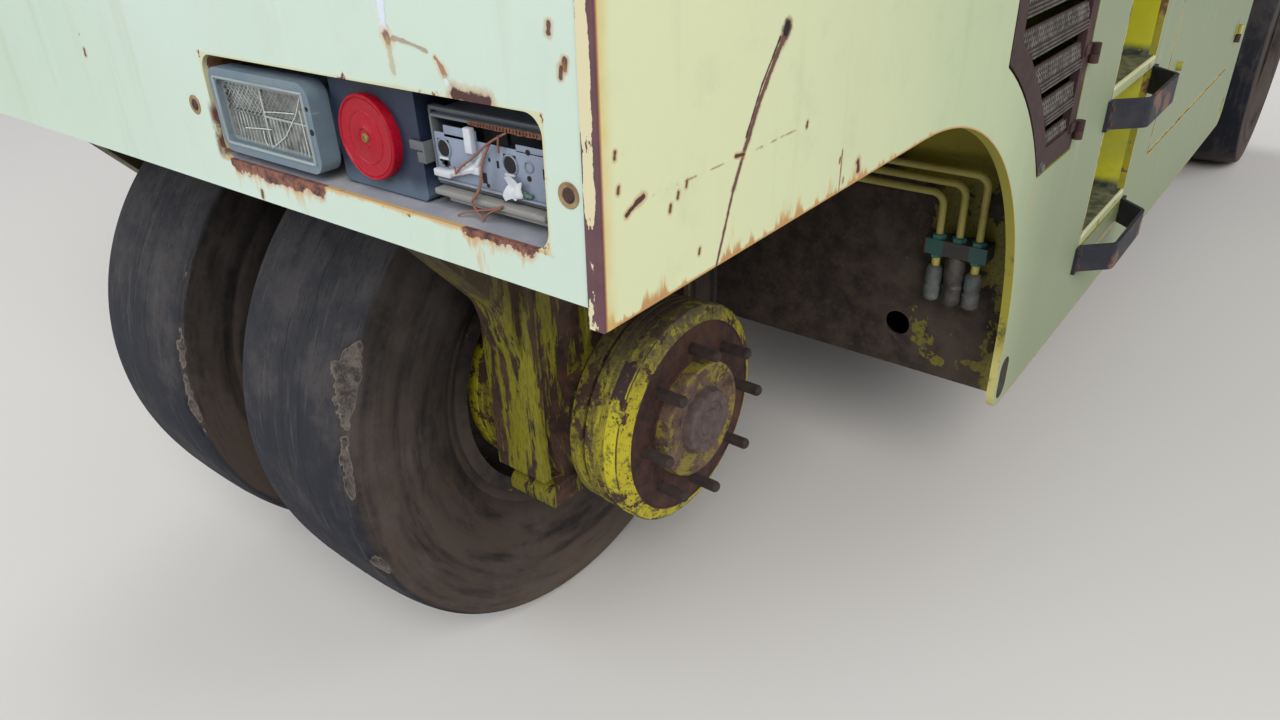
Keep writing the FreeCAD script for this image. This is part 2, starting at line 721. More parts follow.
def ladder_recess():
    """Sheet lining of the step well with its treads and turned-down front lips."""
    x0, x1 = STEP_X0, STEP_X1
    y_in = -SIDE_Y + STEP_DEPTH
    outer = box(x0 - LINING, x1 + LINING, -INNER_Y, y_in + LINING, STEP_BOTTOM_Z - LINING, TOP_Z - SHEET)
    well = outer.cut(box(x0, x1, -SIDE_Y - 1, y_in, STEP_BOTTOM_Z, TOP_Z + 1))
    for level in step_levels():
        tread = box(x0, x1, -SIDE_Y, y_in, level - LINING, level)
        lip = box(x0, x1, -SIDE_Y, -SIDE_Y + LINING, level - STEP_LIP, level)
        well = well.fuse(tread).fuse(lip)
    return well.removeSplitter()


def step_guard(level):
    """Bent strap that bows out below a step's lip and is bolted back on the side plate."""
    top = level - STEP_LIP + 2
    x0, x1 = STEP_X0, STEP_X1
    bend = GUARD_RAMP / 2
    half_t = GUARD_T / 2
    outer = [
        (x0 - GUARD_FOOT, -SIDE_Y),
        (x0 - GUARD_FOOT, -SIDE_Y - GUARD_T),
        (x0, -SIDE_Y - GUARD_T, 10),
        (x0 + GUARD_RAMP, -SIDE_Y - GUARD_REACH, bend),
        (x1 - GUARD_RAMP, -SIDE_Y - GUARD_REACH, bend),
        (x1, -SIDE_Y - GUARD_T, 10),
        (x1 + GUARD_FOOT, -SIDE_Y - GUARD_T),
        (x1 + GUARD_FOOT, -SIDE_Y),
        (x1 - half_t, -SIDE_Y, 10),
        (x1 - GUARD_RAMP - half_t, -SIDE_Y - GUARD_REACH + GUARD_T, bend - GUARD_T),
        (x0 + GUARD_RAMP + half_t, -SIDE_Y - GUARD_REACH + GUARD_T, bend - GUARD_T),
        (x0 + half_t, -SIDE_Y, 10),
    ]
    return slab("z", outer, top - GUARD_HEIGHT, top)


# Doors

def hinge_axis(x1):
    return (x1 + SEAM / 2, -SIDE_Y - HINGE_BARREL_R)


def door_hinge_levels():
    return [DOOR_Z0 + DOOR_HINGE_INSET, DOOR_Z1 - DOOR_HINGE_INSET]


def grille_hinge_levels():
    return [GRILLE_Z0 + GRILLE_HINGE_LENGTH + GRILLE_HINGE_PITCH * index for index in range(GRILLE_HINGES)]


def fixed_hinge(x1, z, length):
    """Leaf on the side plate with the lower barrel and the pin that stands in it."""
    axis = hinge_axis(x1)
    z0, z1 = z - length / 2, z + length / 2
    leaf = box(axis[0] + HINGE_LEAF_T, axis[0] + HINGE_LEAF, -SIDE_Y - HINGE_LEAF_T, -SIDE_Y, z0, z - 1)
    barrel = rod("z", axis, HINGE_BARREL_R, z0, z - 1)
    pin = rod("z", axis, HINGE_PIN_R, z0, z1)
    return leaf.fuse(barrel).fuse(pin).removeSplitter()


def door_hinge(x1, z, length):
    """The door's own leaf and upper barrel."""
    axis = hinge_axis(x1)
    z1 = z + length / 2
    leaf = box(axis[0] - HINGE_LEAF, axis[0] - HINGE_LEAF_T, -SIDE_Y - HINGE_LEAF_T, -SIDE_Y, z, z1)
    barrel = rod("z", axis, HINGE_BARREL_R, z, z1)
    bore = rod("z", axis, HINGE_PIN_R + RUNNING_CLEARANCE, z - 1, z1 + 1)
    return leaf.fuse(barrel).cut(bore)


def louvre(z):
    """Slat section: tilted blade with a short upright lip at each edge."""
    front, back = -SIDE_Y + 2, -SIDE_Y + GRILLE_T - 2
    return slab("x", [
        (front, z), (front + LOUVRE_T, z), (back, z + LOUVRE_RISE - LOUVRE_LIP),
        (back, z + LOUVRE_RISE), (back - LOUVRE_T, z + LOUVRE_RISE), (front, z + LOUVRE_LIP),
    ], GRILLE_X0, GRILLE_X1)


def grille_door():
    """Louvred door: flat frame with its slats, and small hinges along the front edge."""
    body = grille_outline(0).common(box(REAR_X, FRONT_X, -SIDE_Y, -SIDE_Y + GRILLE_T, 0, TOP_Z))
    window = box(
        GRILLE_X0 + GRILLE_FRAME, GRILLE_X1 - GRILLE_FRAME, -SIDE_Y - 1, SIDE_Y,
        GRILLE_Z0 + GRILLE_FRAME, GRILLE_Z1 - GRILLE_FRAME)
    window = window.cut(rod("y", (REAR_AXLE_X, AXLE_Z), GRILLE_ARC_R + GRILLE_FRAME, -SIDE_Y - 2, SIDE_Y))
    door = body.cut(window)
    pocket = window.common(body)
    count = int((GRILLE_Z1 - GRILLE_Z0 - 2 * GRILLE_FRAME) / LOUVRE_PITCH) + 2
    for index in range(count):
        slat = louvre(GRILLE_Z0 + GRILLE_FRAME + index * LOUVRE_PITCH - LOUVRE_RISE / 2).common(pocket)
        if slat.Volume > LOUVRE_T ** 3:
            door = door.fuse(slat)
    for z in grille_hinge_levels():
        door = door.fuse(door_hinge(GRILLE_X1, z, GRILLE_HINGE_LENGTH))
    return door.removeSplitter()


def access_door():
    """Pan-shaped door: outer sheet with edges turned in all round, and a turn latch."""
    x0, x1, z0, z1 = DOOR_X0, DOOR_X1, DOOR_Z0, DOOR_Z1
    radius = DOOR_CORNER_R
    corners = [(x0, z0, radius), (x1, z0, radius), (x1, z1, radius), (x0, z1, radius)]
    door = slab("y", corners, -SIDE_Y, -SIDE_Y + DOOR_T)
    inner = box(x0 + LINING, x1 - LINING, -SIDE_Y + LINING, -SIDE_Y + DOOR_T + 1, z0 + LINING, z1 - LINING)
    latch_at = (x0 + LATCH_INSET, z0 + LATCH_RISE)
    door = door.cut(inner).fuse(rod("y", latch_at, LATCH_R, -SIDE_Y - LATCH_STAND, -SIDE_Y))
    for z in door_hinge_levels():
        door = door.fuse(door_hinge(x1, z, DOOR_HINGE_LENGTH))
    return door.removeSplitter()


def locker():
    """Open box behind the access door with a stop flange for the door's turned edge."""
    x0, x1 = DOOR_X0 - SEAM, DOOR_X1 + SEAM
    z0, z1 = DOOR_Z0 - SEAM, DOOR_Z1 + SEAM
    depth_y = -SIDE_Y + LOCKER_DEPTH
    shell = box(x0 - LINING, x1 + LINING, -INNER_Y, depth_y, z0 - LINING, z1 + LINING)
    shell = shell.cut(box(x0, x1, -SIDE_Y - 1, depth_y - LINING, z0, z1))
    stop_y = -SIDE_Y + DOOR_T + SEAM
    stop = box(x0, x1, stop_y, stop_y + LINING, z0, z1)
    stop = stop.cut(box(
        x0 + LOCKER_STOP, x1 - LOCKER_STOP, stop_y - 1, stop_y + LINING + 1, z0 + LOCKER_STOP, z1 - LOCKER_STOP))
    return shell.fuse(stop).removeSplitter()


# Hood and cowl

def hood_section(grow, z0):
    """Cross-section of hood and cowl: upright sides, sloping shoulders, flat top."""
    shoulder_z = TOP_Z + HOOD_SHOULDER_RISE
    half_top = SIDE_Y - HOOD_SHOULDER - grow * HOOD_SHOULDER_SHARE
    return [
        (-SIDE_Y + grow, z0),
        (SIDE_Y - grow, z0),
        (SIDE_Y - grow, shoulder_z, HOOD_SIDE_R),
        (half_top, HOOD_TOP_Z - grow, HOOD_CROWN_R),
        (-half_top, HOOD_TOP_Z - grow, HOOD_CROWN_R),
        (-SIDE_Y + grow, shoulder_z, HOOD_SIDE_R),
    ]


def hood_shell(x0, x1):
    outer = slab("x", hood_section(0, TOP_Z + SEAM), x0, x1)
    inner = slab("x", hood_section(HOOD_SHEET, TOP_Z), x0 + HOOD_SHEET, x1 - HOOD_SHEET)
    return outer, inner


def hood_end_slope(offset):
    """Wedge that is cut off the hood's rear end."""
    x0 = REAR_X + REAR_LEAN + HOOD_END_SET + offset
    x_out = REAR_X - 2 * HOOD_SHEET
    z0 = TOP_Z - COWL_SKIRT
    z1 = HOOD_TOP_Z + COWL_SKIRT
    return slab("y", [
        (x_out, z0), (x0, z0), (x0, TOP_Z + HOOD_END_RISE - offset),
        (x0 + HOOD_REAR_SLOPE, z1 - offset), (x_out, z1),
    ], -SIDE_Y - CUT_OVER, SIDE_Y + CUT_OVER)


def engine_hood():
    """Sheet hood over the engine with two hinge ears at its rear edge."""
    outer, inner = hood_shell(REAR_X, HOOD_FRONT_X)
    outer = outer.cut(hood_end_slope(0))
    inner = inner.cut(hood_end_slope(HOOD_SHEET))
    hood = outer.cut(inner)
    x, z = HOOD_HINGE_X, HOOD_HINGE_Z
    foot_x = REAR_X + REAR_LEAN + HOOD_END_SET + HOOD_SHEET
    for y in (-HOOD_HINGE_Y, HOOD_HINGE_Y):
        y1 = y + HOOD_HINGE_W
        ear = slab("y", [
            (x - 2, z - HINGE_BARREL_R), (foot_x, TOP_Z + SEAM),
            (foot_x, TOP_Z + HOOD_HINGE_W), (x - 2, z + HINGE_BARREL_R),
        ], y, y1)
        bore = rod("y", (x, z), HINGE_PIN_R + RUNNING_CLEARANCE, y - HOOD_HINGE_W - CUT_OVER, y1 + CUT_OVER)
        hood = hood.fuse(ear.fuse(rod("y", (x, z), HINGE_BARREL_R, y, y1))).cut(bore)
    return hood.removeSplitter()


def hood_hinge(y):
    """Fixed knuckle of the hood on the rear panel's top edge, with its pin."""
    x, z = HOOD_HINGE_X, HOOD_HINGE_Z
    y0 = y - 1 - HOOD_HINGE_W
    knuckle = rod("y", (x, z), HINGE_BARREL_R, y0, y - 1)
    foot = box(x - HINGE_BARREL_R, x + HINGE_PIN_R, y0, y - 1, TOP_Z, z)
    pin = rod("y", (x, z), HINGE_PIN_R, y0, y + HOOD_HINGE_W)
    return knuckle.fuse(foot).fuse(pin).removeSplitter()


def rear_cowl():
    """Fixed cowl between hood and deck: hood section on a base frame, with a skirt down into the body."""
    x0, x1 = COWL_REAR_X, COWL_FRONT_X
    inner_x0, inner_x1 = x0 + HOOD_SHEET, x1 - HOOD_SHEET
    outer, inner = hood_shell(x0, x1)
    skirt_z = TOP_Z - COWL_SKIRT
    skirt_y = INNER_Y - 1
    skirt = box(x0, inner_x1, -skirt_y, skirt_y, skirt_z, TOP_Z + SEAM)
    skirt = skirt.cut(box(inner_x0, x1, -skirt_y + HOOD_SHEET, skirt_y - HOOD_SHEET, skirt_z - 1, TOP_Z + COWL_SKIRT))
    base = box(x0, x1, -SIDE_Y, SIDE_Y, TOP_Z, TOP_Z + SEAM)
    base = base.cut(box(inner_x0, inner_x1, -SIDE_Y + COWL_SKIRT, SIDE_Y - COWL_SKIRT, skirt_z, TOP_Z + COWL_SKIRT))
    hole = rod("z", EXHAUST_AT, EXHAUST_R + SEAM, HOOD_TOP_Z - 2 * HOOD_SHEET, HOOD_TOP_Z + CUT_OVER)
    return outer.cut(inner).fuse(base).fuse(skirt).cut(hole).removeSplitter()


def exhaust_stack():
    """Bent stack pipe with a flange on the cowl."""
    x, y = EXHAUST_AT
    top = HOOD_TOP_Z + EXHAUST_RISE
    bore_r = EXHAUST_R - EXHAUST_WALL
    pipe = tube([(x, y, HOOD_TOP_Z), (x, y, top - EXHAUST_TIP_RISE), (x - EXHAUST_TIP_RUN, y, top)],
                EXHAUST_R, EXHAUST_BEND, bore_r)
    flange = rod("z", EXHAUST_AT, EXHAUST_R + EXHAUST_FLANGE, HOOD_TOP_Z, HOOD_TOP_Z + SHEET)
    flange = flange.cut(rod("z", EXHAUST_AT, bore_r, HOOD_TOP_Z - 1, HOOD_TOP_Z + 2 * SHEET))
    return pipe.fuse(flange).removeSplitter()


def engine():
    """Engine as one plain block on the wheelhouse roof."""
    x0 = REAR_X + ENGINE_SET
    half = ENGINE_WIDTH / 2
    return box(x0, x0 + ENGINE_LENGTH, -half, half, CEILING_Z + FLOOR_PLATE, TOP_Z + ENGINE_RISE)


# Operator's station

def canopy_frame():
    """Four box-section posts on foot plates, joined by a ring of rails under the roof."""
    half = POST / 2
    rail_z = ROOF_BOTTOM_Z - POST
    pieces = []
    for x in (POST_REAR_X, POST_FRONT_X):
        for y in (-POST_Y, POST_Y):
            pieces.append(box(x - half, x + half, y - half, y + half, TOP_Z, ROOF_BOTTOM_Z))
            foot_x, foot_y = half + POST_FOOT_X, half + POST_FOOT_Y
            pieces.append(box(x - foot_x, x + foot_x, y - foot_y, y + foot_y, TOP_Z, TOP_Z + POST_FOOT_T))
    for y in (-POST_Y, POST_Y):
        pieces.append(box(POST_REAR_X, POST_FRONT_X, y - half, y + half, rail_z, ROOF_BOTTOM_Z))
    for x in (POST_REAR_X, POST_FRONT_X):
        pieces.append(box(x - half, x + half, -POST_Y, POST_Y, rail_z, ROOF_BOTTOM_Z))
    return pieces[0].multiFuse(pieces[1:]).removeSplitter()


def roof_outline(inset):
    x0, x1 = POST_REAR_X - ROOF_REAR_OVER + inset, POST_FRONT_X + ROOF_FRONT_OVER - inset
    y1 = SIDE_Y - ROOF_INSET - inset
    radius = ROOF_CORNER_R - inset
    return [(x0, -y1, radius), (x1, -y1, radius), (x1, y1, radius), (x0, y1, radius)]


def canopy_roof():
    """Rounded roof tray with a turned-down rim."""
    rim_z, top_z = ROOF_BOTTOM_Z - ROOF_RIM, ROOF_BOTTOM_Z + ROOF_T
    top = slab("z", roof_outline(0), rim_z, top_z)
    top_edges = [e for e in top.Edges if abs(e.CenterOfMass.z - top_z) < FIT]
    top = top.makeChamfer(ROOF_CHAMFER, top_edges)
    return top.cut(slab("z", roof_outline(ROOF_SKIN), rim_z - 1, ROOF_BOTTOM_Z))


def handrail():
    """Loop rail along the deck's edge with a middle rail, on two foot flanges."""
    x0, x1 = STEP_X1 + RAIL_FROM_STEP, DECK_FRONT_X - RAIL_FRONT_SET
    y = -SIDE_Y + RAIL_INSET
    top = TOP_Z + RAIL_HEIGHT
    rail = tube([(x0, y, TOP_Z), (x0, y, top), (x1, y, top), (x1, y, TOP_Z)], RAIL_R, RAIL_BEND)
    rail = rail.fuse(rod("x", (y, TOP_Z + RAIL_HEIGHT / 2), RAIL_MIDDLE_R, x0, x1))
    for x in (x0, x1):
        rail = rail.fuse(rod("z", (x, y), RAIL_FOOT_R, TOP_Z, TOP_Z + RAIL_FOOT_T))
    return rail.removeSplitter()


def grab_rail():
    """Handle on the rear post beside the steps."""
    x = POST_REAR_X
    post_y = -POST_Y - POST / 2
    out_y = post_y - GRAB_STAND
    z0 = TOP_Z + GRAB_RISE
    z1 = z0 + GRAB_LENGTH
    return tube([(x, post_y, z0), (x, out_y, z0), (x, out_y, z1), (x, post_y, z1)], GRAB_R, GRAB_BEND)


def seat_base():
    """Box pedestal with the seat's mounting plate."""
    top = TOP_Z + SEAT_HEIGHT
    plate_z = top - SEAT_PLATE_T
    half = SEAT_COLUMN_HALF
    column = box(SEAT_X - half, SEAT_X + half, -half, half, TOP_Z, plate_z)
    plate = box(SEAT_X - SEAT_PLATE_X, SEAT_X + SEAT_PLATE_X, -SEAT_PLATE_Y, SEAT_PLATE_Y, plate_z, top)
    return column.fuse(plate).removeSplitter()


def seat():
    """Cushion and back in one moulded block with a dished outline."""
    z = TOP_Z + SEAT_HEIGHT
    top = z + SEAT_BACK
    front = SEAT_X + SEAT_PLATE_X + HINGE_LEAF
    back = front - SEAT_LENGTH
    lean = back - SEAT_BACK_LEAN
    crook = back + SEAT_BACK_T + HINGE_BARREL_R
    return slab("y", [
        (front, z, 20), (front, z + SEAT_CUSHION, 45), (crook, z + SEAT_CUSHION - 20, 50),
        (lean + SEAT_BACK_T, top, 40), (lean, top, 40), (back, z, 20),
    ], -SEAT_HALF, SEAT_HALF)


def tilted(shape):
    """Turns a shape built about the vertical through the steering wheel's centre into the column's tilt."""
    shape.rotate(V(STEER_X, 0, STEER_Z), V(0, 1, 0), -COLUMN_TILT)
    return shape


def console():
    """Instrument pedestal with a sloping face and the steering column."""
    back = CONSOLE_X - CONSOLE_BACK
    front = CONSOLE_X + CONSOLE_FRONT
    face = CONSOLE_X + CONSOLE_BACK / 2
    body = slab("y", [
        (back, TOP_Z), (front, TOP_Z), (front, TOP_Z + CONSOLE_FACE, 50), (face, TOP_Z + CONSOLE_TOP, 40),
        (face - CONSOLE_CROWN, TOP_Z + CONSOLE_LIP, 30), (back + CONSOLE_BACK / 2, TOP_Z + CONSOLE_KNEE, 60),
    ], -CONSOLE_HALF, CONSOLE_HALF)
    column_z = STEER_Z - STEER_HUB_T / 2 - 2
    column = Part.makeCylinder(COLUMN_R, COLUMN_LENGTH, V(STEER_X, 0, column_z - COLUMN_LENGTH))
    pin = Part.makeCylinder(STEER_PIN_R, STEER_HUB_T, V(STEER_X, 0, column_z - CUT_OVER))
    return body.fuse(tilted(column)).fuse(tilted(pin)).removeSplitter()


def steering_wheel():
    """Round grip, hub bored for the column's pin, and three spokes."""
    centre = V(STEER_X, 0, STEER_Z)
    half = STEER_HUB_T / 2
    wheel = Part.makeTorus(STEER_R, STEER_GRIP_R, centre)
    wheel = wheel.fuse(Part.makeCylinder(STEER_HUB_R, STEER_HUB_T, centre - V(0, 0, half)))
    for angle in (90, 210, 330):
        direction = V(math.cos(math.radians(angle)), math.sin(math.radians(angle)), 0)
        start = STEER_HUB_R / 2
        spoke = Part.makeCylinder(STEER_SPOKE_R, STEER_R - start, centre + direction * start, direction)
        wheel = wheel.fuse(spoke)
    bore = Part.makeCylinder(STEER_PIN_R + RUNNING_CLEARANCE, STEER_HUB_T, centre - V(0, 0, half + 2))
    return tilted(wheel.cut(bore).removeSplitter())


# Front end

def front_top_z(x):
    """Height of the sloping front cover at a station."""
    return TOP_Z - (TOP_Z - FRONT_TOP_Z) * (x - DECK_FRONT_X) / (FRONT_X - DECK_FRONT_X)


def front_cover():
    """Sloping sheet from the deck down to the front panel."""
    x1 = FRONT_X - PANEL_SET - SHEET
    return slab("y", [
        (DECK_FRONT_X, TOP_Z - SHEET), (DECK_FRONT_X, TOP_Z),
        (x1, front_top_z(x1)), (x1, front_top_z(x1) - SHEET),
    ], -INNER_Y, INNER_Y)


def front_panel():
    """Front sheet with the two headlamp holes."""
    x1 = FRONT_X - PANEL_SET
    z0 = CEILING_Z - LINING
    panel = box(x1 - SHEET, x1, -INNER_Y, INNER_Y, z0, FRONT_TOP_Z)
    for y in (-HEADLAMP_Y, HEADLAMP_Y):
        panel = panel.cut(rod("x", (y, HEADLAMP_Z), HEADLAMP_R, x1 - SHEET - 1, x1 + 1))
    return panel


def headlamp(y):
    """Round lamp set in the front panel's hole, with a rim and a bowl behind it."""
    x1 = FRONT_X - PANEL_SET
    back = x1 - SHEET
    lens = rod("x", (y, HEADLAMP_Z), HEADLAMP_R - FIT, back, x1)
    rim = rod("x", (y, HEADLAMP_Z), HEADLAMP_R + HEADLAMP_RIM, back - FLOOR_PLATE, back)
    bowl_x = back - FLOOR_PLATE - HEADLAMP_BOWL
    bowl = Part.makeCone(HEADLAMP_R * 0.4, HEADLAMP_R, HEADLAMP_BOWL, V(bowl_x, y, HEADLAMP_Z), V(1, 0, 0))
    return lens.fuse(rim).fuse(bowl).removeSplitter()


def tow_clevis():
    """Two-eared towing jaw under the front edge."""
    x1 = FRONT_X - PANEL_SET - SHEET
    x0 = x1 - CLEVIS_LENGTH
    half = CLEVIS_HALF
    top = CEILING_Z
    bottom = top - CLEVIS_HEIGHT
    corners = [(x0, -half), (x1, -half, half - CUT_OVER), (x1, half, half - CUT_OVER), (x0, half)]
    jaw = slab("z", corners, top - CLEVIS_PLATE, top)
    jaw = jaw.fuse(slab("z", corners, bottom, bottom + CLEVIS_PLATE))
    jaw = jaw.fuse(box(x0, x0 + CLEVIS_PLATE, -half, half, bottom, top))
    return jaw.cut(rod("z", (x1 - CLEVIS_PIN_SET, 0), CLEVIS_PIN_R, bottom - 1, top + 1)).removeSplitter()


# Wheels

def tyre(x, y):
    """Smooth compactor tyre: flat tread with square shoulders, bulged sidewalls, bead lips on the rim."""
    half = TYRE_W / 2
    tread = TREAD_W / 2
    bead = BEAD_W / 2
    right = [
        (bead, BEAD_R), (bead + BEAD_LIP, BEAD_R + 3 * BEAD_LIP), (half, BULGE_R),
        (half, TYRE_R - 3 * SHOULDER_DROP), (tread, TYRE_R - SHOULDER_DROP), (tread - SHOULDER_DROP, TYRE_R),
    ]
    left = [(-offset, radius) for offset, radius in reversed(right)]
    return turned(right + left, x, y, AXLE_Z)


def rim(x, y, disc_side, turn):
    """Wheel rim: flanged band, dished disc on the side of its hub, holes for the studs."""
    seat = BEAD_R - FIT
    half = BEAD_W / 2 - FIT
    inner = seat - RIM_WALL
    disc_y = disc_side * DISC_OFFSET
    edge = half + RIM_FLANGE_W
    right = [(half + RIM_LEDGE, seat), (edge - RIM_FLANGE_T, RIM_FLANGE_R), (edge, RIM_FLANGE_R), (edge, inner)]
    left = [(-offset, radius) for offset, radius in reversed(right)]
    shape = turned(right + left, x, y, AXLE_Z)
    near = disc_y
    far = disc_y - disc_side * DISC_T
    dish = disc_side * DISC_DISH
    disc = turned([
        (near, PILOT_R + FIT), (near, CONTACT_R), (near - dish, inner + 2),
        (far - dish, inner + 2), (far, CONTACT_R - 6), (far, PILOT_R + FIT),
    ], x, y, AXLE_Z)
    shape = shape.fuse(disc)
    for dx, dz in stud_circle(turn):
        y0 = y + disc_y - 2 * DISC_T
        shape = shape.cut(rod("y", (x + dx, AXLE_Z + dz), STUD_HOLE_R, y0, y0 + 4 * DISC_T))
    return shape.removeSplitter()


def stud_circle(turn):
    """Stud places about the axle; turn is how far the hub stands turned, in stud steps."""
    step = 2 * math.pi / STUD_COUNT
    radius = STUD_PCD / 2
    return [(radius * math.cos((i + turn) * step), radius * math.sin((i + turn) * step)) for i in range(STUD_COUNT)]


def add_studs(shape, x, pair_y, side, turn):
    """Studs through the hub's face on one side of the pair's middle."""
    ends = (pair_y + side * (DISC_Y - CUT_OVER), pair_y + side * (DISC_Y + STUD_LENGTH))
    studs = [rod("y", (x + dx, AXLE_Z + dz), STUD_R, min(ends), max(ends)) for dx, dz in stud_circle(turn)]
    return shape.multiFuse(studs)


def drum(x, pair_y, side, start, turn):
    """Grooved hub drum with its raised face ring, pilot boss and studs, on one side of the pair's middle."""
    face = DISC_Y
    tip = face + PILOT_LENGTH
    # Offset from the drum's inner end, depth below the drum's radius
    grooves = [(0, 14), (8, 4), (34, 4), (38, 9), (44, 9), (48, 0)]
    outline = [(start, 0)]
    outline += [(start + offset, HUB_R - depth) for offset, depth in grooves]
    outline += [
        (face - CONTACT_RAISE, HUB_R), (face, CONTACT_R), (face, PILOT_R), (tip, PILOT_R - 3), (tip, SPINDLE_CAP_R),
        (tip + SPINDLE_CAP_LENGTH, SPINDLE_CAP_R - 4), (tip + SPINDLE_CAP_LENGTH, 0),
    ]
    shape = turned([(side * offset, radius) for offset, radius in outline], x, pair_y, AXLE_Z)
    return add_studs(shape, x, pair_y, side, turn)


def rear_hub(pair_y, turns):
    """Two drums on one shaft; turns gives the stud turn on the -Y and the +Y side."""
    start = HOUSING_W / 2 + HUB_GAP
    hub = rod("y", (REAR_AXLE_X, AXLE_Z), SHAFT_R, pair_y - start - CUT_OVER, pair_y + start + CUT_OVER)
    for side, turn in zip((-1, 1), turns):
        hub = hub.fuse(drum(REAR_AXLE_X, pair_y, side, start, turn))
    return hub.removeSplitter()


def axle_bracket(pair_y):
    """Drive housing hung from the wheelhouse roof: flared box bracket, ribs and the round gear case."""
    half = HOUSING_W / 2
    inner_half = half - BRACKET_RECESS
    top = CEILING_Z
    x, z = REAR_AXLE_X, AXLE_Z
    # Offset from the axle, height above the axle, bend
    web = [
        (-BRACKET_REAR, top - z, 0), (-275, 279, 60), (-225, 75, 0), (-190, -95, 40),
        (190, -95, 40), (205, 115, 0), (240, 375, 60), (BRACKET_FRONT, top - z, 0),
    ]
    web = [(x + dx, z + dz, bend) for dx, dz, bend in web]
    bracket = slab("y", web, pair_y - inner_half, pair_y + inner_half)
    bracket = bracket.fuse(rod("y", (x, z), HOUSING_R, pair_y - half, pair_y + half))
    bracket = bracket.fuse(rod("y", (x, z), HOUSING_R - 30, pair_y - half - 2, pair_y + half + 2))
    lip = half + BRACKET_FLANGE_LIP
    bracket = bracket.fuse(box(
        x - BRACKET_REAR, x + BRACKET_FRONT, pair_y - lip, pair_y + lip, top - BRACKET_FLANGE_T, top))
    # Offset from the axle, lower end and upper end above the axle
    ribs = [(-250, -55, 320), (-120, 85, top - z), (20, 135, top - z), (160, 85, top - z)]
    for dx, z0, z1 in ribs:
        rib_y = half - BRACKET_RECESS / 4
        bracket = bracket.fuse(box(x + dx, x + dx + BRACKET_RIB, pair_y - rib_y, pair_y + rib_y, z + z0, z + z1))
    lug_y = half - BRACKET_RECESS / 2
    lug = [(-235, -130, 20), (-235 + BRACKET_LUG, -130, 10), (-235 + BRACKET_LUG, -85, 0), (-235, -85, 20)]
    lug = [(x + dx, z + dz, bend) for dx, dz, bend in lug]
    bracket = bracket.fuse(slab("y", lug, pair_y - lug_y, pair_y + lug_y))
    bore = rod("y", (x, z), SHAFT_R + RUNNING_CLEARANCE, pair_y - HOUSING_W, pair_y + HOUSING_W)
    return bracket.cut(bore).removeSplitter()


def leg_section(half_x, half_y, pair_y, z):
    corners = [(-half_x, -half_y), (half_x, -half_y), (half_x, half_y), (-half_x, half_y), (-half_x, -half_y)]
    return Part.Wire(Part.makePolygon([V(FRONT_AXLE_X + dx, pair_y + dy, z) for dx, dy in corners]))


def front_leg(pair_y):
    """Steered leg: kingpin in the floor bearing, tapered column and the cross barrel for the wheel shaft."""
    x = FRONT_AXLE_X
    centre = (x, pair_y)
    top = CEILING_Z + KINGPIN_TOP
    head_z = CEILING_Z - LEG_HEAD_DROP
    half_w = LEG_BARREL_W / 2
    leg = rod("z", centre, KINGPIN_R, head_z, top + SEAM)
    leg = leg.fuse(rod("z", centre, KINGPIN_R + KINGPIN_BOSS_WALL, top + SEAM, top + 4 * SEAM))
    leg = leg.fuse(rod("z", centre, half_w, head_z, CEILING_Z - SEAM))
    foot = leg_section(LEG_FOOT_X, LEG_FOOT_Y, pair_y, AXLE_Z)
    head = leg_section(LEG_HEAD_X, LEG_HEAD_Y, pair_y, head_z)
    leg = leg.fuse(Part.makeLoft([foot, head], True, True))
    leg = leg.fuse(rod("y", (x, AXLE_Z), LEG_BARREL_R, pair_y - half_w, pair_y + half_w))
    bore = rod("y", (x, AXLE_Z), FRONT_SHAFT_R + RUNNING_CLEARANCE, pair_y - LEG_BARREL_W, pair_y + LEG_BARREL_W)
    return leg.cut(bore).removeSplitter()


def front_hub(pair_y, turns):
    """Free-running hubs of one front pair on their common shaft."""
    x = FRONT_AXLE_X
    start = LEG_BARREL_W / 2 + HUB_GAP
    flange_r = STUD_PCD / 2 + 3 * STUD_R
    tip = DISC_Y + PILOT_LENGTH
    cap = DISC_Y + FRONT_CAP_LENGTH
    outline = [
        (start, 0), (start, FRONT_HUB_R - 12), (start + 30, FRONT_HUB_R), (DISC_Y - FRONT_FLANGE_T, FRONT_HUB_R),
        (DISC_Y - FRONT_FLANGE_T, flange_r), (DISC_Y, flange_r), (DISC_Y, PILOT_R),
        (tip, PILOT_R - 3), (tip, SPINDLE_CAP_R + 8), (cap, SPINDLE_CAP_R), (cap, 0),
    ]
    hub = rod("y", (x, AXLE_Z), FRONT_SHAFT_R, pair_y - start - CUT_OVER, pair_y + start + CUT_OVER)
    for side, turn in zip((-1, 1), turns):
        hub = hub.fuse(turned([(side * offset, radius) for offset, radius in outline], x, pair_y, AXLE_Z))
        hub = add_studs(hub, x, pair_y, side, turn)
    return hub.removeSplitter()


# Pipes

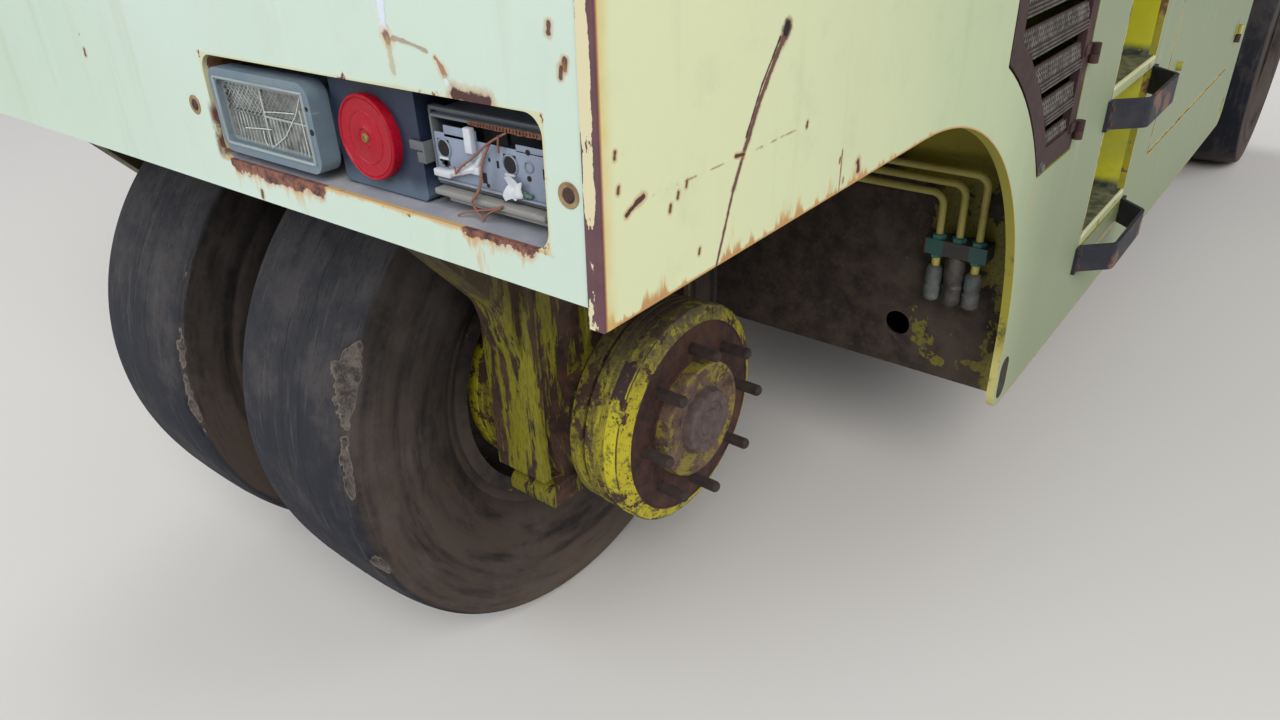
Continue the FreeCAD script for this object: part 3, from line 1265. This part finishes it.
def bulkhead_pipes():
    """Three pipes that leave the bulkhead, run outboard, bend down and end in a bar of couplings."""
    x = BULKHEAD_X - PIPE_STAND
    first_z = CEILING_Z - CREASE_DROP - PIPE_BELOW_CREASE
    bar_z = first_z - PIPE_BAR_DROP
    inner_y = -SIDE_Y + PIPE_INNER_INSET
    ends = [-SIDE_Y + PIPE_INSETS[0] - 3 * PIPE_R, -SIDE_Y + PIPE_INSETS[-1] + 3 * PIPE_R]
    group = box(x - 2 * PIPE_R, BULKHEAD_X, ends[0], ends[1], bar_z - PIPE_BAR_HALF, bar_z + PIPE_BAR_HALF)
    for index, inset in enumerate(PIPE_INSETS):
        y = -SIDE_Y + inset
        z = first_z - PIPE_STEP * index
        route = [(BULKHEAD_X, inner_y, z), (x, inner_y, z), (x, y, z), (x, y, bar_z)]
        stem = rod("z", (x, y), PIPE_R, bar_z - PIPE_STEM, bar_z)
        fitting = rod("z", (x, y), 2 * PIPE_R, bar_z - PIPE_STEM - PIPE_FITTING, bar_z - PIPE_STEM)
        group = group.fuse(tube(route, PIPE_R, PIPE_BEND)).fuse(stem).fuse(fitting)
    return group.removeSplitter()


def build():
    os.makedirs("parts", exist_ok=True)

    sides("side_plate", side_plate())
    export("rear_panel", rear_panel())
    for name, make in (
        ("lamp_recesses", lamp_recess),
        ("work_lamps", work_lamp),
        ("work_lamp_lenses", work_lamp_lens),
        ("reflector_mounts", reflector_mount),
        ("reflectors", reflector),
        ("tail_lamp_bases", tail_lamp_base),
        ("ladder_recesses", ladder_recess),
        ("lockers", locker),
    ):
        piece = make()
        export(name, piece, mirrored(piece))
    export("rear_wheelhouse", rear_wheelhouse())
    export("belly_plate", belly_plate())
    export("front_wheelhouse", front_wheelhouse())
    export("deck", deck())

    guards = [step_guard(level) for level in step_levels()]
    export("step_guards", *guards, *[mirrored(guard) for guard in guards])

    sides("grille_door", grille_door())
    sides("access_door", access_door())
    hinges = [fixed_hinge(GRILLE_X1, z, GRILLE_HINGE_LENGTH) for z in grille_hinge_levels()]
    hinges += [fixed_hinge(DOOR_X1, z, DOOR_HINGE_LENGTH) for z in door_hinge_levels()]
    hinges += [mirrored(hinge) for hinge in hinges]
    hinges += [hood_hinge(y) for y in (-HOOD_HINGE_Y, HOOD_HINGE_Y)]
    export("door_hinges", *hinges)

    export("engine_hood", engine_hood())
    export("rear_cowl", rear_cowl())
    export("exhaust_stack", exhaust_stack())
    export("engine", engine())

    export("canopy_frame", canopy_frame())
    export("canopy_roof", canopy_roof())
    rails = [handrail(), grab_rail()]
    export("handrails", *rails, *[mirrored(rail) for rail in rails])
    export("seat_base", seat_base())
    export("seat", seat())
    export("console", console())
    export("steering_wheel", steering_wheel())

    export("front_cover", front_cover())
    export("front_panel", front_panel())
    export("headlamps", headlamp(-HEADLAMP_Y), headlamp(HEADLAMP_Y))
    export("tow_clevis", tow_clevis())

    export("axle_brackets", *[axle_bracket(y) for y in REAR_PAIR_Y.values()])
    export("bulkhead_pipes", bulkhead_pipes())

    # Each free-turning hub stands at its own angle: stud turns on the -Y and the +Y side of each pair
    turns = {"right": (0.0, 0.25), "left": (0.75, 0.5)}
    for side, pair_y in REAR_PAIR_Y.items():
        inner, turn = (1, turns[side][1]) if side == "right" else (-1, turns[side][0])
        wheel_y = pair_y + inner * WHEEL_PITCH / 2
        export("rear_hub_" + side, rear_hub(pair_y, turns[side]))
        export("rear_rim_" + side, rim(REAR_AXLE_X, wheel_y, -inner, turn))
        export("rear_tyre_" + side, tyre(REAR_AXLE_X, wheel_y))
    for side, pair_y in FRONT_PAIR_Y.items():
        wheels = [(hand, pair_y + hand * WHEEL_PITCH / 2, turn) for hand, turn in zip((-1, 1), turns[side])]
        export("front_leg_" + side, front_leg(pair_y))
        export("front_hub_" + side, front_hub(pair_y, turns[side]))
        export("front_rims_" + side, *[rim(FRONT_AXLE_X, y, -hand, turn) for hand, y, turn in wheels])
        export("front_tyres_" + side, *[tyre(FRONT_AXLE_X, y) for hand, y, turn in wheels])


build()
